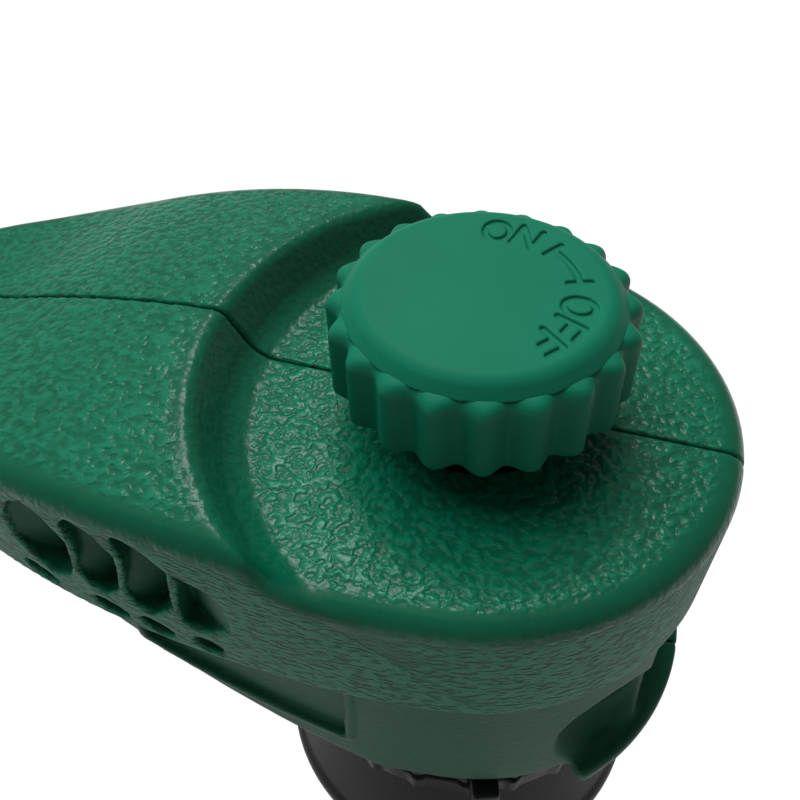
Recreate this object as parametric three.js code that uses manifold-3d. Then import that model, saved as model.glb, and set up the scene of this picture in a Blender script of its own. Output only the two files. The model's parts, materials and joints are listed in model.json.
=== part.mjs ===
// A turret sprinkler on a ground spike. A gear-driven head oscillates over a set arc on a fixed riser.
// Millimetres, +Z up. The origin is on the swivel axis at ground level, under the step plate.
// The nozzle points along -X at rest, so the left side of the head is -Y and the right side is +Y.

import * as THREE from 'three';
import { mergeVertices } from 'three/addons/utils/BufferGeometryUtils.js';
import Module from 'manifold-3d';

const wasm = await Module();
wasm.setup();

// ---------------------------------------------------------------- driving dimensions

const CASING_TOP = 116;          // height of the casing's flat top above the ground
const GAP = 0.3;                 // clearance between pieces that touch
const WALL = 2.4;                // wall of the two shells

// Head casing. Heights inside the head are measured from the casing's flat top.
const REAR_RADIUS = 33;          // round rear end, about the swivel axis
const BEAM_HALF = 34;            // greatest half-width
const BEAM_X = -14;              // where it is widest
const NOSE_X = -88;              // blunt nose face
const NOSE_REACH = 77;           // semi-axis of the elliptical front, from BEAM_X
const LIP_Z = -19.2;             // underside of the casing's overhanging lip
const EDGE_RADIUS = 2.4;         // rounding along the casing's top edge
const HOOD_Z = 7.1;              // hood's height at its rear edge
const HOOD_X = -34;              // the hood's rear edge on the mid-plane
const HOOD_CROWN = 2;            // how far the hood falls from its middle to its sides
const HOOD_LAP = 0.15;           // how far the hood's side stands proud of the rear block
const REAR_FRONT_X = -45;        // the flat rear block ends here, inside the hood
const STEP_X = 9.5;              // centre of the round step in front of the knob
const STEP_RADIUS = 39;          // the step's radius at its foot
const STEP_FLARE = 0.61;         // growth of that radius for each millimetre of height

// Underbody
const BODY_INSET = 1.5;          // set back from the casing's side
const BODY_Z = -46;              // flat bottom of the underbody
const KEEL_X = -5;               // the bottom slopes up ahead of this line
const KEEL_SLOPE = 0.515;        // rise for each millimetre forward
const LEDGE_RADIUS = 35.2;       // foot ledge round the rear
const LEDGE_SPREAD = 47;         // degrees to each side of +X
const BODY_NOSE_X = -57;         // front end of the underbody at lip height
const BODY_ROUND_X = -44;        // where the underbody's front starts to round

// Knob and flow valve, on the swivel axis
const KNOB_RADIUS = 18;
const KNOB_FLUTES = 20;
const KNOB_FLUTE_DEPTH = 1.3;
const KNOB_FLUTE_PHASE = 14.25;  // degrees from +X to the crest of a flute
const KNOB_FOOT_Z = 6.65;
const KNOB_TOP_Z = 16.75;
const CAP_RADIUS = 15.4;
const CAP_HEIGHT = 1.5;
const BONNET_RADIUS = 11;
const MANIFOLD_RADIUS = 12;
const CHAMBER_BORE = 9;          // the valve's chamber
const SPINDLE_RADIUS = 3;
const COLLAR_FOOT_Z = -4.6;      // the open plug stops just under this
const SEAT_Z = -18;

// Gear train, module 0.8 throughout
const MODULE = 0.8;
const PRESSURE_ANGLE = THREE.MathUtils.degToRad(20);
const SUN_TEETH = 54;
const OUTPUT_PINION_TEETH = 12;
const OUTPUT_WHEEL_TEETH = 30;
const COMPOUND_PINION_TEETH = 10;
const COMPOUND_WHEEL_TEETH = 26;
const TURBINE_PINION_TEETH = 10;
const SUN_SPAN = [-28.5, -25];          // heights of each toothed band
const OUTPUT_PINION_SPAN = [-28.4, -23];
const OUTPUT_WHEEL_SPAN = [-23, -20.8];
const COMPOUND_PINION_SPAN = [-23, -19.5];
const COMPOUND_WHEEL_SPAN = [-19.5, -17.2];
const TURBINE_PINION_SPAN = [-19.5, -17.2];
const AXLE_RADIUS = 1.2;
const TURBINE_X = -46;
const LEVER_X = -33.5;           // pivot of the reversing lever
const FINGER_Z = -50.2;          // foot of its finger, between the arc rings' tabs
const LEVER_TILT = 12;           // degrees that the lever leans to one stop at rest
const STATOR_RADIUS = 13;
const FEED_Z = -9;
const PORT_TOP_Z = -3;           // top of the turbine's inlet port, under the casing's flat roof
const FEED_RADIUS = 4.5;
const FEED_BORE = 3.2;
const NOZZLE_Z = -12.7;
const NOZZLE_RADIUS = 4.1;
const NOZZLE_BORE = 2.9;
const NOZZLE_MOUTH = 2.1;
const NOZZLE_TUBE_Z = -12.3;
const NOZZLE_TUBE_FRONT = -84.4;
const EAR_X = 93;                // deflector hinge, ahead of the nose
const HINGE_RISE = 7;            // its height over the nozzle's axis

// Riser, arc rings and base
const RISER_RADIUS = 8;
const RISER_BORE = 5.5;
const RISER_TOP_Z = -21;
const CLIP_Z = -39.4;            // the clip that holds the head down on the riser
const HUB_RADIUS = 21.8;
const HUB_TOP_Z = -47.2;
const RING_OUTER = 27.3;
const RING_INNER = 22.1;
const SKIRT_TOP_Z = -57.4;
const SKIRT_Z = -75.5;
const SKIRT_RADIUS = 30.5;
const INLET_Z = -97;
const NIPPLE_RADIUS = 8;
const NIPPLE_BORE = 6;
const NUT_BORE = 13.4;           // just clear of a 3/4 inch hose thread
const SOCKET_RADIUS = 9.3;       // the spike's peg goes up into this socket
const SOCKET_Z = -105.6;
const PIN_Z = -108;
const CHAMBER_RADIUS = 14;
const CHAMBER_BOTTOM_Z = -111.7;
const PLATE_THICKNESS = 4;
const SPIKE_LENGTH = 150;
const RING_TAB_ANGLE = 70;       // degrees from +X to each arc tab at rest

// ---------------------------------------------------------------- materials

const material = (color, roughness, metalness = 0) => (
  new THREE.MeshStandardMaterial({ color, roughness, metalness })
);
const GREEN = material(0x0d6b4b, 0.5);
const BLACK = material(0x1b1d20, 0.6);
const WHITE = material(0xd9d8cf, 0.45);
const GREY = material(0x6f7478, 0.5);
const RUBBER = material(0x141414, 0.9);
const STEEL = material(0xb9bcc0, 0.3, 1);
const BRASS = material(0xb58b45, 0.35, 1);

// ---------------------------------------------------------------- solids

function asSolid(geometry) {
  const bare = geometry.clone();
  bare.deleteAttribute('normal');
  bare.deleteAttribute('uv');
  const merged = mergeVertices(bare, 1e-4);
  const position = merged.attributes.position;
  const corner = [new THREE.Vector3(), new THREE.Vector3(), new THREE.Vector3()];
  const triangles = [];
  let volume = 0;
  for (let i = 0; i < merged.index.count; i += 3) {
    const ids = [0, 1, 2].map((k) => merged.index.getX(i + k));
    if (new Set(ids).size === 3) {
      ids.forEach((id, k) => corner[k].fromBufferAttribute(position, id));
      volume += corner[0].dot(corner[1].clone().cross(corner[2]));
      triangles.push(ids);
    }
  }
  const outward = volume > 0 ? triangles : triangles.map(([a, b, c]) => [a, c, b]);
  return new wasm.Manifold(new wasm.Mesh({
    numProp: 3,
    vertProperties: new Float32Array(position.array),
    triVerts: new Uint32Array(outward.flat()),
  }));
}

function asGeometry(solid) {
  const mesh = solid.getMesh();
  const geometry = new THREE.BufferGeometry();
  geometry.setAttribute('position', new THREE.BufferAttribute(mesh.vertProperties, 3));
  geometry.setIndex(new THREE.BufferAttribute(mesh.triVerts, 1));
  geometry.computeVertexNormals();
  return geometry;
}

const solidOf = (shape) => (shape instanceof THREE.BufferGeometry ? asSolid(shape) : shape);
const join = (first, ...rest) => rest.reduce((sum, shape) => sum.add(solidOf(shape)), solidOf(first));
const cut = (first, ...rest) => rest.reduce((left, shape) => left.subtract(solidOf(shape)), solidOf(first));
const common = (first, second) => solidOf(first).intersect(solidOf(second));

// A closed profile of [radius, height] points turned about the Z axis.
function turned(profile, segments = 20) {
  const points = [...profile, profile[0]].map(([r, z]) => new THREE.Vector2(r, z));
  const geometry = new THREE.LatheGeometry(points, segments);
  geometry.rotateX(Math.PI / 2);
  return geometry;
}

const disc = (radius, low, high, segments = 20) => (
  turned([[0, low], [radius, low], [radius, high], [0, high]], segments)
);
const pipe = (inner, outer, low, high, segments = 20) => (
  turned([[inner, low], [outer, low], [outer, high], [inner, high]], segments)
);

function torus(major, minor, z) {
  const geometry = new THREE.TorusGeometry(major, minor, 5, 16);
  geometry.translate(0, 0, z);
  return geometry;
}

// A box between two corners.
function block(x0, y0, z0, x1, y1, z1) {
  const geometry = new THREE.BoxGeometry(x1 - x0, y1 - y0, z1 - z0);
  geometry.translate((x0 + x1) / 2, (y0 + y1) / 2, (z0 + z1) / 2);
  return geometry;
}

function prism(points, low, high) {
  const shape = new THREE.Shape(points.map(([x, y]) => new THREE.Vector2(x, y)));
  const geometry = new THREE.ExtrudeGeometry(shape, { depth: high - low, bevelEnabled: false });
  geometry.translate(0, 0, low);
  return geometry;
}

// A piece turned about Z, laid along another axis: X for the nozzle, Y for screws and the inlet.
const alongX = (geometry) => geometry.rotateY(Math.PI / 2);
const alongY = (geometry) => geometry.rotateX(-Math.PI / 2);

const polar = (radius, degrees) => {
  const angle = THREE.MathUtils.degToRad(degrees);
  return [radius * Math.cos(angle), radius * Math.sin(angle)];
};

// ---------------------------------------------------------------- the scene graph

const sprinkler = new THREE.Group();
const head = new THREE.Group();      // everything whose heights are measured from the casing's top
head.position.z = CASING_TOP;
sprinkler.add(head);

function place(name, shape, look, x = 0, y = 0, z = 0, parent = head) {
  const mesh = new THREE.Mesh(asGeometry(solidOf(shape)), look);
  mesh.name = name;
  mesh.position.set(x, y, z);
  parent.add(mesh);
  return mesh;
}

// ---------------------------------------------------------------- casing outline

// Half-width of the casing at a station along X: a circle behind, a blend beside the axis,
// and a half-ellipse in front.
function casingHalf(x) {
  const blendEnd = 6;
  if (x >= blendEnd) {
    return Math.sqrt(Math.max(REAR_RADIUS ** 2 - x ** 2, 0));
  }
  if (x >= BEAM_X) {
    const span = blendEnd - BEAM_X;
    const t = (x - BEAM_X) / span;
    const rear = Math.sqrt(REAR_RADIUS ** 2 - blendEnd ** 2);
    const slope = -blendEnd / rear;
    const rise = 3 * t ** 2 - 2 * t ** 3;
    return BEAM_HALF + (rear - BEAM_HALF) * rise + slope * span * (t ** 3 - t ** 2);
  }
  return BEAM_HALF * Math.sqrt(1 - ((x - BEAM_X) / NOSE_REACH) ** 2);
}

function underbodyHalf(x) {
  if (x >= BODY_ROUND_X) {
    return casingHalf(x) - BODY_INSET;
  }
  const reach = (x - BODY_ROUND_X) / (BODY_NOSE_X - BODY_ROUND_X);
  return (casingHalf(BODY_ROUND_X) - BODY_INSET) * Math.sqrt(Math.max(1 - reach ** 2, 0));
}

// A closed outline, mirrored about the X axis, from a half-width function. Stations crowd
// towards both ends, where the outline turns.
function outline(halfWidth, front, rear, inset, count) {
  const half = [];
  for (let i = 0; i <= count; i += 1) {
    const x = (front + rear) / 2 - Math.cos((i / count) * Math.PI) * (rear - front) / 2;
    half.push([x, Math.max(halfWidth(x), 0)]);
  }
  const normalInset = half.map(([x, w], i) => {
    const [x0, w0] = half[Math.max(i - 1, 0)];
    const [x1, w1] = half[Math.min(i + 1, count)];
    const length = Math.hypot(x1 - x0, w1 - w0);
    return [x + (w1 - w0) / length * inset, w - (x1 - x0) / length * inset];
  });
  const side = normalInset.filter(([, w]) => w > 0.01);
  const ends = [];
  if (halfWidth(rear) < 1) {
    ends.push([rear - inset, 0]);
  }
  const mirrored = side.map(([x, w]) => [x, -w]);
  const tip = halfWidth(front) < 1 ? [[front + inset, 0]] : [];
  return [...tip, ...mirrored, ...ends, ...side.reverse()];
}

const hoodHeight = (x) => {
  const d = HOOD_X - x;
  return HOOD_Z - 0.055 * d - 0.0035 * d ** 2;
};

// The hood, as sections across the head joined along X. The inset gives the cavity inside it.
function hood(inset) {
  const stations = [0, 4, 10, 18, 28, 38, 48, 58, 80].map((d) => NOSE_X + inset + d);
  const floor = LIP_Z + inset;
  const edge = EDGE_RADIUS + 0.6 - inset * 0.5;
  const sections = stations.map((x) => {
    const w = casingHalf(x) - inset;
    const top = (y) => hoodHeight(x) - inset - HOOD_CROWN * (y / w) ** 2;
    const section = [[w, floor]];
    for (let i = 0; i <= 3; i += 1) {
      const angle = (i / 3) * Math.PI / 2;
      section.push([w - edge + edge * Math.cos(angle), top(w - edge) - edge + edge * Math.sin(angle)]);
    }
    for (const share of [0.5, 0, -0.5]) {
      section.push([share * (w - edge), top(share * (w - edge))]);
    }
    for (let i = 3; i >= 0; i -= 1) {
      const angle = (i / 3) * Math.PI / 2;
      section.push([-(w - edge + edge * Math.cos(angle)), top(w - edge) - edge + edge * Math.sin(angle)]);
    }
    section.push([-w, floor]);
    return section.map(([y, z]) => new THREE.Vector3(x, y, z));
  });
  return loft(sections);
}

// Joins sections of equal length into a closed solid with fan caps.
function loft(sections) {
  const size = sections[0].length;
  const points = sections.flat();
  const index = [];
  for (let s = 0; s + 1 < sections.length; s += 1) {
    for (let k = 0; k < size; k += 1) {
      const a = s * size + k;
      const b = s * size + (k + 1) % size;
      index.push(a, b, a + size, b, b + size, a + size);
    }
  }
  const last = (sections.length - 1) * size;
  for (let k = 1; k + 1 < size; k += 1) {
    index.push(0, k + 1, k);
    index.push(last, last + k, last + k + 1);
  }
  const geometry = new THREE.BufferGeometry().setFromPoints(points);
  geometry.setIndex(index);
  return geometry;
}

// The round step's cutter: a cone about STEP_X that clears the flat round the knob.
function stepCutter(offset) {
  const radius = (z) => STEP_RADIUS + offset + STEP_FLARE * z;
  const cone = turned([[0, -offset], [radius(0), -offset], [radius(0), 0], [radius(12), 12], [0, 12]], 36);
  cone.translate(STEP_X, 0, 0);
  return cone;
}

// The flat rear of the casing, with its rounded top edge. It is a hair narrower than the hood,
// so that the two never share a surface.
function rearCasing(inset) {
  const half = (x) => casingHalf(x) - (x < REAR_FRONT_X + 40 ? HOOD_LAP : 0);
  const level = (z, inwards) => (
    outline(half, REAR_FRONT_X, REAR_RADIUS, inwards, 12).map(([x, y]) => new THREE.Vector3(x, y, z))
  );
  const floor = level(LIP_Z + HOOD_LAP / 2 + inset, inset);
  if (inset > 0) {
    return loft([floor, level(-inset, inset)]);
  }
  const rounding = [0, 45, 90].map((degrees) => {
    const angle = THREE.MathUtils.degToRad(degrees);
    return level(-EDGE_RADIUS * (1 - Math.sin(angle)), EDGE_RADIUS * (1 - Math.cos(angle)));
  });
  return loft([floor, ...rounding]);
}

// The underbody's block, cut by the sloping keel.
function underbody(inset) {
  const ring = outline(underbodyHalf, BODY_NOSE_X, REAR_RADIUS - BODY_INSET, inset, 11);
  const bodyBlock = prism(ring, BODY_Z + inset, inset > 0 ? LIP_Z + WALL + 1 : LIP_Z + 1);
  const slope = Math.hypot(1, KEEL_SLOPE) * inset;
  const keel = prism([
    [KEEL_X, BODY_Z + slope],
    [KEEL_X - 70, BODY_Z + slope + 70 * KEEL_SLOPE],
    [KEEL_X - 70, BODY_Z - 20],
    [KEEL_X, BODY_Z - 20],
  ], -40, 40);
  keel.rotateX(Math.PI / 2);
  return cut(bodyBlock, keel);
}

// ---------------------------------------------------------------- shells

// Screws that close the two shells. The side is where the head of the screw sits.
const SHELL_SCREWS = [
  { name: 'shell_screw_front', x: -66, z: -4.4, side: 1 },
  { name: 'shell_screw_rear_top', x: 26.5, z: -10, side: 1 },
  { name: 'shell_screw_rear_bottom', x: 23.5, z: -38, side: -1 },
  { name: 'shell_screw_keel', x: -14, z: -34.5, side: 1 },
];
const SCREW_SEAT = 9;            // distance of the head's seat from the mid-plane
const SCREW_TIP = 7;             // how far the tip goes past the mid-plane
const SCREW_SHANK = 1.2;
const SCREW_HEAD = 2.2;
const BOSS_RADIUS = 3.3;

const LOUVRE_PITCH = 6.5;
const LOUVRE_FIRST_X = -45.3;    // top tip of the foremost louvre
const LOUVRE_COUNT = 3;
const LOUVRE_BOTTOM_Z = -13.5;

// Outline of one louvre in the XZ plane. It leans back towards its foot.
function louvreOutline(x) {
  const top = hoodHeight(x) - 4.6;
  return [
    [x, top], [x + 2, top - 0.6], [x + 3.8, top - 3], [x + 4.5, top - 5.5], [x + 3.9, -7.7],
    [x + 4, -10.4], [x + 3.2, -13], [x + 1, LOUVRE_BOTTOM_Z], [x - 0.6, -11], [x - 1, -7.3],
    [x - 0.5, -3.5], [x - 0.7, top - 1.5],
  ];
}

function sidePrism(points, near, far, side) {
  const geometry = prism(points, near, far);
  geometry.rotateX(Math.PI / 2);
  if (side > 0) {
    geometry.translate(0, near + far, 0);
  }
  return geometry;
}

// The recess low on each rear side, over the foot ledge. Growth gives its backing wall.
function pocket(side, growth = 0) {
  const scoop = new THREE.SphereGeometry(1, 12, 8);
  scoop.scale(9.5 + growth, 7 + growth, 8.5 + growth);
  const [x, y] = polar(34.5, side * 37);
  scoop.rotateZ(THREE.MathUtils.degToRad(side * (37 + 90)));
  scoop.translate(x, y, -36.5);
  return scoop;
}

function ledge() {
  const steps = 12;
  const arc = (radius) => Array.from({ length: steps + 1 }, (_, i) => (
    polar(radius, LEDGE_SPREAD * (2 * i / steps - 1))
  ));
  return prism([...arc(LEDGE_RADIUS), ...arc(LEDGE_RADIUS - 6).reverse()], BODY_Z - 0.8, BODY_Z + 2.2);
}

function bossPost({ x, z }) {
  const reach = 40;
  return alongY(disc(BOSS_RADIUS, -reach, reach, 12)).translate(x, 0, z);
}

function shells() {
  const outer = join(cut(hood(0), stepCutter(0)), rearCasing(0), underbody(0), ledge());
  const cavity = join(cut(hood(WALL), stepCutter(WALL)), rearCasing(WALL), underbody(WALL));
  const backing = [-1, 1].map((side) => common(pocket(side, WALL), outer));
  const posts = SHELL_SCREWS.map((screw) => common(bossPost(screw), outer));
  let body = join(cut(outer, cavity), ...posts, ...backing, disc(12.5, BODY_Z, CLIP_Z - GAP));
  for (const { x, z, side } of SHELL_SCREWS) {
    const shank = alongY(disc(SCREW_SHANK + GAP, -SCREW_TIP - 1, SCREW_SEAT + 1, 10));
    const sink = alongY(disc(SCREW_HEAD + GAP, SCREW_SEAT, 45, 12));
    if (side < 0) {
      shank.rotateZ(Math.PI);
      sink.rotateZ(Math.PI);
    }
    body = cut(body, shank.translate(x, 0, z), sink.translate(x, 0, z));
  }
  const noseHole = alongX(disc(NOZZLE_RADIUS + GAP, NOSE_X - 1, NOSE_X + WALL + 1));
  noseHole.translate(0, 0, NOZZLE_Z);
  const leverHole = disc(1.9, BODY_Z, -24, 20).translate(LEVER_X, 0, 0);
  body = cut(
    body,
    disc(BONNET_RADIUS + 0.5, -WALL - 1, 2),
    disc(RISER_RADIUS + 1, BODY_Z - 2, CLIP_Z),
    noseHole,
    leverHole,
  );
  const louvres = [-1, 1].flatMap((side) => Array.from({ length: LOUVRE_COUNT }, (_, i) => (
    sidePrism(louvreOutline(LOUVRE_FIRST_X + i * LOUVRE_PITCH), 23.5, 42, side)
  )));
  return cut(body, ...louvres, pocket(-1), pocket(1));
}

function addShells() {
  const whole = shells();
  place('left_shell', common(whole, block(-120, -60, -80, 60, -GAP / 2, 40)), GREEN);
  place('right_shell', common(whole, block(-120, GAP / 2, -80, 60, 60, 40)), GREEN);
  for (const { name, x, z, side } of SHELL_SCREWS) {
    const screw = join(
      disc(SCREW_SHANK, -SCREW_TIP, SCREW_SEAT + 1, 10),
      disc(SCREW_HEAD, SCREW_SEAT + GAP, SCREW_SEAT + 2.2, 12),
    );
    const mesh = place(name, screw, STEEL, x, 0, z);
    mesh.rotation.x = side > 0 ? -Math.PI / 2 : Math.PI / 2;
  }
}

// ---------------------------------------------------------------- knob and flow valve

// The knob's outline at one height, scaled about the axis so that every facet is flat.
function flutedRing(scale, z) {
  const samples = 4;
  return Array.from({ length: KNOB_FLUTES * samples }, (_, i) => {
    const turn = (i / (KNOB_FLUTES * samples)) * 360;
    const wave = 0.5 + 0.5 * Math.cos(THREE.MathUtils.degToRad(turn * KNOB_FLUTES));
    const radius = KNOB_RADIUS - KNOB_FLUTE_DEPTH * (1 - wave ** 0.7);
    const [x, y] = polar(radius * scale, turn + KNOB_FLUTE_PHASE);
    return new THREE.Vector3(x, y, z);
  });
}

function knob() {
  const skirt = loft([
    flutedRing(1, KNOB_FOOT_Z),
    flutedRing(1, KNOB_TOP_Z - 1.2),
    flutedRing(0.98, KNOB_TOP_Z - 0.4),
    flutedRing(0.935, KNOB_TOP_Z),
  ]);
  const hollow = pipe(5.8, 15, KNOB_FOOT_Z - 1, KNOB_TOP_Z - 2.4);
  const hub = disc(6.2, KNOB_FOOT_Z - 1, KNOB_FOOT_Z + 0.6);
  const shaftHole = disc(SPINDLE_RADIUS + GAP, KNOB_FOOT_Z - 2, KNOB_TOP_Z - 2.1, 6);
  const screwHole = disc(1.8, KNOB_TOP_Z - 3, KNOB_TOP_Z + 1, 20);
  const screwSink = disc(3.4, KNOB_TOP_Z - 1.1, KNOB_TOP_Z + 1, 24);
  return cut(skirt, hollow, hub, shaftHole, screwHole, screwSink);
}

function addValve() {
  place('control_knob', knob(), GREEN);
  const low = KNOB_TOP_Z + 0.1;
  const capTop = low + CAP_HEIGHT;
  place('knob_cap', turned([
    [0, low], [CAP_RADIUS, low], [CAP_RADIUS, low + 0.4], [CAP_RADIUS - 0.5, low + 1],
    [CAP_RADIUS - 1.3, capTop], [0, capTop],
  ], 32), GREEN, 0, 0, GAP - 0.1);

  const spindleTop = KNOB_TOP_Z - 2.5;
  place('valve_spindle', cut(
    join(
      disc(SPINDLE_RADIUS, COLLAR_FOOT_Z, 6, 24),
      disc(SPINDLE_RADIUS, 6, spindleTop, 6),
      disc(5, COLLAR_FOOT_Z, -3.3, 28),
      disc(2.2, -10.7, COLLAR_FOOT_Z, 20),
    ),
    disc(1.5, spindleTop - 8, spindleTop + 1, 14),
  ), BRASS);
  place('knob_screw', join(
    disc(1.2, spindleTop - 6, KNOB_TOP_Z - 0.5, 14),
    disc(2.9, KNOB_TOP_Z - 0.8, KNOB_TOP_Z, 20),
  ), STEEL);
  place('valve_bonnet', turned([
    [SPINDLE_RADIUS + GAP, -3], [5.3, -3], [5.3, COLLAR_FOOT_Z], [CHAMBER_BORE - GAP, COLLAR_FOOT_Z],
    [CHAMBER_BORE - GAP, -2.7], [BONNET_RADIUS, -2.7], [BONNET_RADIUS, 3.4], [BONNET_RADIUS - 0.8, 4.2],
    [6.6, 4.2], [6.6, 5.4], [5.2, 5.4], [5.2, 1.5], [SPINDLE_RADIUS + GAP, 1.5],
  ]), BLACK);
  place('spindle_seal', torus(4.2, 0.7, 2.6), RUBBER);
  place('gland_washer', pipe(SPINDLE_RADIUS + GAP, 4.9, 3.7, 5.1), WHITE);

  const plugLow = SEAT_Z + GAP + 1.8;
  place('valve_plug', turned([
    [0, plugLow], [7.6, plugLow], [7.6, -11], [6, -9], [2.5, -9], [2.5, -15], [0, -15],
  ], 8), WHITE);
  place('valve_washer', disc(7, SEAT_Z + GAP, plugLow - GAP, 32), RUBBER);

  const manifold = turned([
    [9.2, -24.5], [MANIFOLD_RADIUS, -24.5], [MANIFOLD_RADIUS, -3], [CHAMBER_BORE, -3],
    [CHAMBER_BORE, SEAT_Z], [5, SEAT_Z], [5, SEAT_Z - 2.4], [9.2, SEAT_Z - 2.4],
  ]);
  const outlet = alongX(disc(FEED_BORE, -20, -7, 20)).translate(0, 0, FEED_Z);
  place('valve_body', cut(manifold, outlet), BLACK);
}

// ---------------------------------------------------------------- gears

const involute = (angle) => Math.tan(angle) - angle;

// A spur gear's outline with one tooth centred on the phase angle.
function gearOutline(teeth, phase) {
  const pitch = MODULE * teeth / 2;
  const base = pitch * Math.cos(PRESSURE_ANGLE);
  const root = pitch - 1.3 * MODULE;
  const tip = pitch + 0.85 * MODULE;
  const thinning = 0.86;
  const halfAngle = (radius) => {
    const pressure = Math.acos(Math.min(base / radius, 1));
    return (Math.PI / (2 * teeth)) * thinning + involute(PRESSURE_ANGLE) - involute(pressure);
  };
  const flank = [root, tip];
  const points = [];
  for (let i = 0; i < teeth; i += 1) {
    const centre = phase + (i / teeth) * Math.PI * 2;
    const rising = flank.map((r) => [r, centre - halfAngle(r)]);
    const falling = flank.map((r) => [r, centre + halfAngle(r)]);
    points.push(...rising, ...falling.reverse());
  }
  return points.map(([r, angle]) => [r * Math.cos(angle), r * Math.sin(angle)]);
}

const gear = (teeth, phase, [low, high]) => prism(gearOutline(teeth, phase), low, high);
const bore = (radius, low, high) => disc(radius, low - 1, high + 1, 20);
const direction = (from, to) => Math.atan2(to.y - from.y, to.x - from.x);
const meshPhase = (from, to, teeth) => direction(from, to) + Math.PI + Math.PI / teeth;

// Shaft centres, found from the gears' pitch radii.
const centreDistance = (a, b) => MODULE * (a + b) / 2;
const swivelAxis = new THREE.Vector2(0, 0);
const turbineAxis = new THREE.Vector2(TURBINE_X, 0);
const outputAxis = (() => {
  const reach = centreDistance(SUN_TEETH, OUTPUT_PINION_TEETH);
  const bearing = THREE.MathUtils.degToRad(150);
  return new THREE.Vector2(reach * Math.cos(bearing), reach * Math.sin(bearing));
})();
const compoundAxis = (() => {
  const fromOutput = centreDistance(OUTPUT_WHEEL_TEETH, COMPOUND_PINION_TEETH);
  const fromTurbine = centreDistance(COMPOUND_WHEEL_TEETH, TURBINE_PINION_TEETH);
  const span = turbineAxis.clone().sub(outputAxis);
  const along = (fromOutput ** 2 - fromTurbine ** 2 + span.lengthSq()) / (2 * span.length());
  const aside = Math.sqrt(fromOutput ** 2 - along ** 2);
  const unit = span.normalize();
  return new THREE.Vector2(
    outputAxis.x + unit.x * along + unit.y * aside,
    outputAxis.y + unit.y * along - unit.x * aside,
  );
})();

function addGears() {
  const outputGear = join(
    gear(OUTPUT_PINION_TEETH, meshPhase(swivelAxis, outputAxis, OUTPUT_PINION_TEETH), OUTPUT_PINION_SPAN),
    gear(OUTPUT_WHEEL_TEETH, direction(outputAxis, compoundAxis), OUTPUT_WHEEL_SPAN),
  );
  const outputBore = bore(AXLE_RADIUS + GAP, OUTPUT_PINION_SPAN[0], OUTPUT_WHEEL_SPAN[1]);
  place('output_gear', cut(outputGear, outputBore), WHITE, outputAxis.x, outputAxis.y);
  place('output_axle', disc(AXLE_RADIUS, -30.2, -15.6, 12), STEEL, outputAxis.x, outputAxis.y);

  const pinionPhase = meshPhase(outputAxis, compoundAxis, COMPOUND_PINION_TEETH);
  const compoundGear = join(
    gear(COMPOUND_PINION_TEETH, pinionPhase, COMPOUND_PINION_SPAN),
    gear(COMPOUND_WHEEL_TEETH, direction(compoundAxis, turbineAxis), COMPOUND_WHEEL_SPAN),
  );
  const compoundBore = bore(AXLE_RADIUS + GAP, COMPOUND_PINION_SPAN[0], COMPOUND_WHEEL_SPAN[1]);
  place('compound_gear', cut(compoundGear, compoundBore), WHITE, compoundAxis.x, compoundAxis.y);
  place('compound_axle', disc(AXLE_RADIUS, -23.2, -15.6, 12), STEEL, compoundAxis.x, compoundAxis.y);

  const turbinePhase = meshPhase(compoundAxis, turbineAxis, TURBINE_PINION_TEETH);
  place('turbine_shaft', join(
    gear(TURBINE_PINION_TEETH, turbinePhase, TURBINE_PINION_SPAN),
    disc(AXLE_RADIUS, -21.4, -2, 16),
  ), GREY, turbineAxis.x, turbineAxis.y);

  const sunPhase = direction(swivelAxis, outputAxis);
  place('fixed_gear', cut(
    join(gear(SUN_TEETH, sunPhase, SUN_SPAN), disc(11, -29, SUN_SPAN[1])),
    disc(RISER_RADIUS + GAP, -40, -20),
  ), WHITE);

  place('lower_gear_plate', cut(
    join(disc(24.5, -30.4, -29.3), disc(3.6, -30.4, -29.3).translate(outputAxis.x, outputAxis.y, 0)),
    disc(RISER_RADIUS + 1.2, -35, -28),
    bore(AXLE_RADIUS + GAP, -31, -29).translate(outputAxis.x, outputAxis.y, 0),
  ), GREY);
  const carrier = prism([
    [outputAxis.x + 5, outputAxis.y - 6], [outputAxis.x + 5, outputAxis.y + 6],
    [compoundAxis.x + 2, compoundAxis.y + 7], [compoundAxis.x - 6, compoundAxis.y + 5],
    [compoundAxis.x - 6, compoundAxis.y - 7],
  ], -16.8, -15.3);
  place('gear_carrier', cut(
    carrier,
    bore(AXLE_RADIUS + GAP, -17, -15).translate(outputAxis.x, outputAxis.y, 0),
    bore(AXLE_RADIUS + GAP, -17, -15).translate(compoundAxis.x, compoundAxis.y, 0),
    disc(STATOR_RADIUS + GAP, -20, -10, 32).translate(turbineAxis.x, turbineAxis.y, 0),
    disc(MANIFOLD_RADIUS + GAP, -20, -10),
    block(LEVER_X - 4, -8, -20, LEVER_X + 20, 5, -10),
  ), GREY);
}

// ---------------------------------------------------------------- turbine and flow path

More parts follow.
